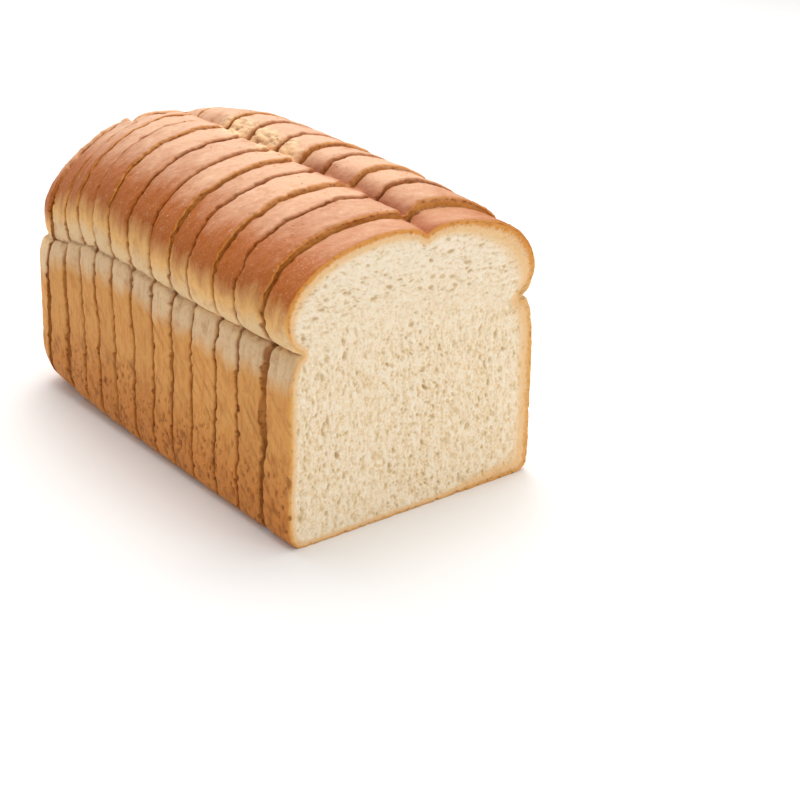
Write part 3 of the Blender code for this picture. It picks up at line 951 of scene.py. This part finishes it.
def bread_material(crust, crumb):
    """White bread baked in a tin: a dry matt crust with a faint sheen, and an open crumb."""
    material, tree, shader = new_material("tin_baked_white_bread")
    place = node(tree, "ShaderNodeTexCoord").outputs["Object"]
    rise = value_of(tree, "rise")
    depth = value_of(tree, "depth")
    pitted = value_of(tree, "pitted")
    torn = value_of(tree, "torn")
    pore = value_of(tree, "pore")
    valley = value_of(tree, "valley")
    tone = value_of(tree, "tone")

    # Outside: bake colour by height, fine speckle, painted shade in the pits, hollows and split, and
    # the split's torn patch.
    skin = crust_colour(tree, place, crust, maths(tree, "MULTIPLY_ADD", tone, TONE_BAKE, rise))
    blotch = noise_texture(tree, place, 0.0075, 4.0, 0.6)
    skin = blend_colours(tree, spread(tree, blotch, 0.50, 0.72, 0.0, 0.35), skin, crust.shoulder)
    speckle = noise_texture(tree, place, 0.0014, 4.0, 0.65)
    skin = blend_colours(tree, spread(tree, speckle, 0.50, 0.74, 0.0, 0.42), skin, crust.foot)
    skin = blend_colours(tree, spread(tree, speckle, 0.46, 0.26, 0.0, 0.32), skin, crust.lip)
    slide = stretched(tree, place, (0.3, 1.0, 0.14), (math.radians(-44), 0.0, 0.0))
    streaks = noise_texture(tree, slide, 0.0016, 3.0)
    on_wall = spread(tree, rise, -12.0, -20.0)
    streak_share = maths(tree, "MULTIPLY", on_wall, spread(tree, streaks, 0.46, 0.66, 0.0, 0.65))
    skin = blend_colours(tree, streak_share, skin, crust.foot)
    skin = blend_colours(tree, maths(tree, "MULTIPLY", valley, 0.75), skin, crust.valley)
    skin = blend_colours(tree, maths(tree, "MULTIPLY", torn, 0.9), skin, crust.torn)
    skin = blend_colours(tree, maths(tree, "MULTIPLY", pitted, 0.85), skin, crust.hollow_shade_brown)
    paler = blend_colours(tree, 1.0, skin, (TONE_BRIGHTNESS,) * 3, "MULTIPLY")
    skin = blend_colours(tree, spread_linear(tree, tone, -0.5, 0.5), skin, paler)

    # Cut crust: gold on the walls and orange brown on the crown; further in it becomes crumb.
    browned = spread(tree, rise, 4.0, 18.0, 0.75, 0.9)
    golden = blend_colours(tree, spread(tree, rise, -2.0, 14.0), crust.wall_edge, crust.cut_edge)
    cut = blend_colours(tree, browned, skin, golden)
    # Painted shade in the holes of the cut crust.
    cut = blend_colours(tree, maths(tree, "MULTIPLY", pitted, 0.7), cut, crust.hollow_shade_brown)
    rim_noise = noise_texture(tree, place, 0.0011, 2.0)
    strayed = maths(tree, "MULTIPLY_ADD", rim_noise, 1.7, maths(tree, "ADD", depth, -0.85))
    edge_share = spread(tree, depth, 0.0, 0.35)
    outer = blend_colours(tree, edge_share, skin, cut)
    # Painted shade inside the cuts and along their edges.
    outer = blend_colours(tree, value_of(tree, "seam"), outer, crust.seam)

    # Inside: pale cell walls, cream between them, a painted highlight of pale cream on raised strands
    # and painted shade of tan in the pores.
    cell_noise = noise_texture(tree, place, 0.0011, 4.0, 0.7)
    inside = blend_colours(tree, spread(tree, cell_noise, 0.38, 0.66), crumb.middle, crumb.light)
    cloud = noise_texture(tree, place, 0.022, 2.0)
    inside = blend_colours(tree, spread(tree, cloud, 0.45, 0.75, 0.0, 0.35), inside, crumb.middle)
    inside = blend_colours(tree, spread(tree, rise, -25.0, 30.0, 0.0, 0.50), inside, crumb.light)
    inside = blend_colours(tree, spread_linear(tree, pore, 0.0, -0.6), inside, crumb.light)
    inside = blend_colours(tree, maths(tree, "MULTIPLY", pore, 0.85), inside, crumb.pore)
    soft_gold = blend_colours(tree, spread(tree, strayed, 0.8, 2.2), crust.torn, crumb.peach)
    inside = blend_colours(tree, spread(tree, depth, 1.8, 4.4), soft_gold, inside)
    body = blend_colours(tree, spread(tree, strayed, 0.55, 1.55), outer, inside)
    tree.links.new(body, shader.inputs["Base Color"])

    # The crown is a little glossier than the walls; the crumb is dull.
    on_crown = spread(tree, rise, 8.0, 30.0)
    skin_rough = spread(tree, on_crown, 0.0, 1.0, 0.65, 0.50)
    rough = blend_values(tree, spread(tree, depth, 0.1, 1.0), skin_rough, 0.9)
    tree.links.new(rough, shader.inputs["Roughness"])
    shader.inputs["IOR"].default_value = 1.46
    shader.inputs["Specular IOR Level"].default_value = 0.24
    shader.inputs["Subsurface Weight"].default_value = 0.12
    shader.inputs["Subsurface Radius"].default_value = (0.0030, 0.0018, 0.0009)
    shader.inputs["Subsurface Scale"].default_value = 1.0

    # Grain too fine for the mesh: 0.5 mm on the crust, and cells of about 1.1 mm in the crumb.
    grain = noise_texture(tree, place, 0.0005, 3.0, 0.7)
    voronoi = node(tree, "ShaderNodeTexVoronoi", {"Vector": place, "Scale": 1 / 0.0011})
    holes = voronoi.outputs["Distance"]
    open_grain = maths(tree, "MULTIPLY_ADD", holes, 0.9, maths(tree, "MULTIPLY", grain, 0.5))
    height = blend_values(tree, spread(tree, depth, 1.0, 2.5), grain, open_grain)
    bump = node(tree, "ShaderNodeBump", {"Height": height, "Strength": 0.65, "Distance": 0.0004})
    tree.links.new(bump.outputs["Normal"], shader.inputs["Normal"])
    return material


def plain_bread_material(name, base_colour, roughness):
    """Dry crust or crumb of one tone with fine mottling, for the small trim."""
    material, tree, shader = new_material(name)
    place = node(tree, "ShaderNodeTexCoord").outputs["Object"]
    mottle = noise_texture(tree, place, 0.0009, 3.0)
    darker = tuple(channel * 0.72 for channel in base_colour)
    tree.links.new(blend_colours(tree, mottle, darker, base_colour), shader.inputs["Base Color"])
    shader.inputs["Roughness"].default_value = roughness
    shader.inputs["IOR"].default_value = 1.46
    return material


def floor_material():
    """Matt white paper sweep."""
    material, tree, shader = new_material("matt_white_paper")
    place = node(tree, "ShaderNodeTexCoord").outputs["Object"]
    fibre = noise_texture(tree, place, 0.05, 2.0)
    tone = blend_colours(tree, fibre, (0.90, 0.895, 0.89), (0.915, 0.91, 0.905))
    tree.links.new(tone, shader.inputs["Base Color"])
    shader.inputs["Roughness"].default_value = 0.9
    shader.inputs["Specular IOR Level"].default_value = 0.2
    return material


# ---------------------------------------------------------------- scattered trim

def geometry(tree, kind, inputs):
    """Adds a node and returns the geometry it gives."""
    return node(tree, kind, inputs).outputs["Geometry"]


def first_enabled(random_node):
    """The one output of a Random Value node that is in use."""
    return next(output for output in random_node.outputs if output.enabled)


def scatter_tree(name, material, flatten):
    """A node tree that scatters small lumps over faces where the attribute spots is high."""
    tree = bpy.data.node_groups.new(name, "GeometryNodeTree")
    interface = tree.interface
    interface.new_socket("Geometry", in_out="INPUT", socket_type="NodeSocketGeometry")
    for socket_name, kind in (("Density", "Float"), ("Radius", "Float"), ("Seed", "Int")):
        interface.new_socket(socket_name, in_out="INPUT", socket_type=f"NodeSocket{kind}")
    interface.new_socket("Geometry", in_out="OUTPUT", socket_type="NodeSocketGeometry")
    source = node(tree, "NodeGroupInput").outputs
    spots = node(tree, "GeometryNodeInputNamedAttribute", {"Name": "spots"}, data_type="FLOAT")
    density = maths(tree, "MULTIPLY", source["Density"], spots.outputs["Attribute"])
    places = {"Mesh": source["Geometry"], "Density": density, "Seed": source["Seed"]}
    scattered = node(tree, "GeometryNodeDistributePointsOnFaces", places).outputs
    # A round lump, pushed about by noise and flattened.
    lump = node(tree, "GeometryNodeMeshIcoSphere", {"Radius": 1.0, "Subdivisions": 2}).outputs["Mesh"]
    jitter = node(tree, "ShaderNodeTexNoise", {"Scale": 1.3}).outputs["Color"]
    push = node(tree, "ShaderNodeVectorMath", {0: jitter, 1: (0.5, 0.5, 0.5)}, operation="SUBTRACT")
    lump = geometry(tree, "GeometryNodeSetPosition", {"Geometry": lump, "Offset": push.outputs[0]})
    lump = geometry(tree, "GeometryNodeTransform", {"Geometry": lump, "Scale": (1.0, 1.0, flatten)})
    sizes = {"Min": 0.45, "Max": 1.5, "Seed": source["Seed"]}
    size = first_enabled(node(tree, "FunctionNodeRandomValue", sizes, data_type="FLOAT"))
    scale = maths(tree, "MULTIPLY", size, source["Radius"])
    copies = {"Points": scattered["Points"], "Instance": lump, "Rotation": scattered["Rotation"],
              "Scale": scale}
    placed = node(tree, "GeometryNodeInstanceOnPoints", copies).outputs["Instances"]
    real = geometry(tree, "GeometryNodeRealizeInstances", {"Geometry": placed})
    dressed = geometry(tree, "GeometryNodeSetMaterial", {"Geometry": real, "Material": material})
    node(tree, "NodeGroupOutput", {"Geometry": dressed})
    return tree


def scatter(name, ground, material, density, radius, seed, flatten):
    """Lumps over a ground object, turned into a plain mesh; the ground is removed."""
    tree = scatter_tree(f"{name}_nodes", material, flatten)
    modifier = ground.modifiers.new(name, "NODES")
    modifier.node_group = tree
    settings = {"Density": density, "Radius": radius, "Seed": seed}
    for item in tree.interface.items_tree:
        if item.in_out == "INPUT" and item.name in settings:
            modifier[item.identifier] = settings[item.name]
    evaluated = ground.evaluated_get(bpy.context.evaluated_depsgraph_get())
    mesh = bpy.data.meshes.new_from_object(evaluated)
    mesh.name = name
    mesh.shade_smooth()
    piece = bpy.data.objects.new(name, mesh)
    bpy.context.scene.collection.objects.link(piece)
    bpy.data.objects.remove(ground)
    bpy.data.node_groups.remove(tree)
    return piece


def ground_from(pieces, name, spots_of):
    """Faces of the pieces where spots_of gives more than nothing, as one object to scatter on."""
    corners, triangles, spots, start = [], [], [], 0
    for piece in pieces:
        mesh = piece.data
        count = len(mesh.vertices)
        places = np.zeros(count * 3)
        mesh.vertices.foreach_get("co", places)
        values = {}
        for value_name in ("rise", "depth", "torn"):
            held = np.zeros(count, np.float32)
            mesh.attributes[value_name].data.foreach_get("value", held)
            values[value_name] = held
        chosen = spots_of(places.reshape(-1, 3) / MM, values)
        faces = np.zeros(len(mesh.polygons) * 3, np.int32)
        mesh.polygons.foreach_get("vertices", faces)
        faces = faces.reshape(-1, 3)
        faces = faces[(chosen[faces] > 0.02).all(axis=1)]
        used, packed = np.unique(faces, return_inverse=True)
        corners.append(places.reshape(-1, 3)[used])
        spots.append(chosen[used])
        triangles.append(packed.reshape(-1, 3) + start)
        start += len(used)
    mesh = bpy.data.meshes.new(name)
    mesh.from_pydata(np.concatenate(corners), [], np.concatenate(triangles))
    attribute = mesh.attributes.new("spots", "FLOAT", "POINT")
    attribute.data.foreach_set("value", np.concatenate(spots).astype(np.float32))
    ground = bpy.data.objects.new(name, mesh)
    bpy.context.scene.collection.objects.link(ground)
    return ground


# ---------------------------------------------------------------- operators

def loaf_pieces():
    return [obj for obj in bpy.context.scene.objects if obj.name.endswith("_bread")]


def settle(piece, *nodes):
    """Says which body carries a finished piece and the nodes it stands for."""
    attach(piece, BODY)
    if nodes:
        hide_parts(*nodes)


class LOAF_OT_bread(Operator):
    """Makes the slices and the heel, each in place of its frame node"""
    bl_idname = "tin_loaf.bread"
    bl_label = "Bread"

    def execute(self, context):
        scene = context.scene
        looks = (scene.loaf_crust, scene.loaf_crumb)
        material = bread_material(*looks)
        for number, name in enumerate(SLICES):
            settle(make_slice(name, number, looks, material), name)
        settle(make_heel(looks, material, len(SLICES)), HEEL)
        return {"FINISHED"}


class LOAF_OT_blisters(Operator):
    """Scatters pale blisters over the crown"""
    bl_idname = "tin_loaf.blisters"
    bl_label = "Blisters"

    def execute(self, context):
        trim = context.scene.loaf_trim

        def spots(points, values):
            patchy = 0.35 + 0.65 * ramp_up(-0.2, 0.5, soft_noise(points, 18.0, 501))
            on_skin = values["depth"] < 0.05
            return ramp_up(10.0, 26.0, values["rise"]) * patchy * on_skin * (1 - values["torn"])

        ground = ground_from(loaf_pieces(), "blister_ground", spots)
        material = plain_bread_material("blistered_crust_skin", trim.blister, 0.5)
        settle(scatter("crust_blisters", ground, material, trim.blister_density, trim.blister_size,
                       trim.seed, 0.5))
        return {"FINISHED"}


class LOAF_OT_crumbs(Operator):
    """Scatters clinging crumbs along the cut edges"""
    bl_idname = "tin_loaf.crumbs"
    bl_label = "Crumbs"

    def execute(self, context):
        trim = context.scene.loaf_trim

        def spots(points, values):
            front_face = LOAF_LOW[1] / MM + 3.0
            at_edge = (values["depth"] > 0.06) & (values["depth"] < 1.0) & (points[:, 1] > front_face)
            patchy = 0.3 + 0.7 * ramp_up(0.0, 0.5, soft_noise(points, 9.0, 511))
            return at_edge * (points[:, 2] > 3.0) * patchy

        ground = ground_from(loaf_pieces(), "crumb_ground", spots)
        material = plain_bread_material("dry_bread_crumb", trim.crumb, 0.85)
        area = sum(face.area for face in ground.data.polygons)
        density = trim.crumbs_per_cut * (len(SLICES) + 1) / area
        settle(scatter("clinging_crumbs", ground, material, density, trim.crumb_size,
                       trim.seed + 1, 0.8))
        return {"FINISHED"}


def area_light(name, place, target, width, height, power):
    """A soft rectangular light that looks at a point."""
    light = bpy.data.lights.new(name, "AREA")
    light.shape = "RECTANGLE"
    light.size = width
    light.size_y = height
    light.energy = power
    lamp = bpy.data.objects.new(name, light)
    lamp.location = place
    lamp.rotation_euler = (Vector(target) - Vector(place)).to_track_quat("-Z", "Y").to_euler()
    bpy.context.scene.collection.objects.link(lamp)


class LOAF_OT_stage(Operator):
    """Lays the floor and sets the lights and the camera"""
    bl_idname = "tin_loaf.stage"
    bl_label = "Stage"

    def execute(self, context):
        scene = context.scene
        stage = scene.loaf_stage
        mesh = bpy.data.meshes.new("floor")
        ends = ((-1, -1), (1, -1), (1, 1), (-1, 1))
        corners = [(x * FLOOR_REACH, y * FLOOR_REACH, 0) for x, y in ends]
        mesh.from_pydata(corners, [], [(0, 1, 2, 3)])
        mesh.materials.append(floor_material())
        floor = bpy.data.objects.new("floor", mesh)
        scene.collection.objects.link(floor)

        world = bpy.data.worlds.new("white_studio")
        scene.world = world
        world.use_nodes = True
        background = world.node_tree.nodes["Background"]
        background.inputs["Color"].default_value = (1.0, 0.99, 0.98, 1.0)
        background.inputs["Strength"].default_value = stage.ambient

        for name, power, place, target, width, height in LIGHTS:
            area_light(name, place, target, width, height, getattr(stage, power))

        back = (math.sin(stage.azimuth) * math.cos(stage.elevation),
                -math.cos(stage.azimuth) * math.cos(stage.elevation), math.sin(stage.elevation))
        target = (CAMERA_AIM[0], LOAF_LOW[1] + CAMERA_AIM[1], CAMERA_AIM[2])
        camera = bpy.data.cameras.new("camera")
        camera.lens = stage.lens
        camera.sensor_width = SENSOR_WIDTH
        camera.clip_start = 0.01
        viewer = bpy.data.objects.new("camera", camera)
        viewer.location = tuple(aim + CAMERA_DISTANCE * step for aim, step in zip(target, back))
        viewer.rotation_euler = (math.pi / 2 - stage.elevation, 0.0, stage.azimuth)
        scene.collection.objects.link(viewer)
        scene.camera = viewer
        scene.view_settings.view_transform = "Standard"
        return {"FINISHED"}


class LOAF_PT_panel(Panel):
    """Lists the steps that make the loaf"""
    bl_idname = "LOAF_PT_panel"
    bl_label = "Tin Loaf"
    bl_space_type = "VIEW_3D"
    bl_region_type = "UI"
    bl_category = "Tin Loaf"

    def draw(self, context):
        scene = context.scene
        for group, operators in (("loaf_crust", (LOAF_OT_bread,)), ("loaf_crumb", ()),
                                 ("loaf_trim", (LOAF_OT_blisters, LOAF_OT_crumbs)),
                                 ("loaf_stage", (LOAF_OT_stage,))):
            box = self.layout.box()
            settings = getattr(scene, group)
            for name in settings.__annotations__:
                box.prop(settings, name)
            for operator in operators:
                box.operator(operator.bl_idname)


GROUPS = {"loaf_crust": CrustSettings, "loaf_crumb": CrumbSettings, "loaf_trim": TrimSettings,
          "loaf_stage": StageSettings}
CLASSES = (*GROUPS.values(), LOAF_OT_bread, LOAF_OT_blisters, LOAF_OT_crumbs, LOAF_OT_stage,
           LOAF_PT_panel)


def register():
    for made_class in CLASSES:
        bpy.utils.register_class(made_class)
    for name, group in GROUPS.items():
        setattr(bpy.types.Scene, name, PointerProperty(type=group))


def unregister():
    for name in GROUPS:
        delattr(bpy.types.Scene, name)
    for made_class in reversed(CLASSES):
        bpy.utils.unregister_class(made_class)


def main():
    register()
    bpy.ops.tin_loaf.bread()
    bpy.ops.tin_loaf.blisters()
    bpy.ops.tin_loaf.crumbs()
    bpy.ops.tin_loaf.stage()


if __name__ == "__main__":
    main()
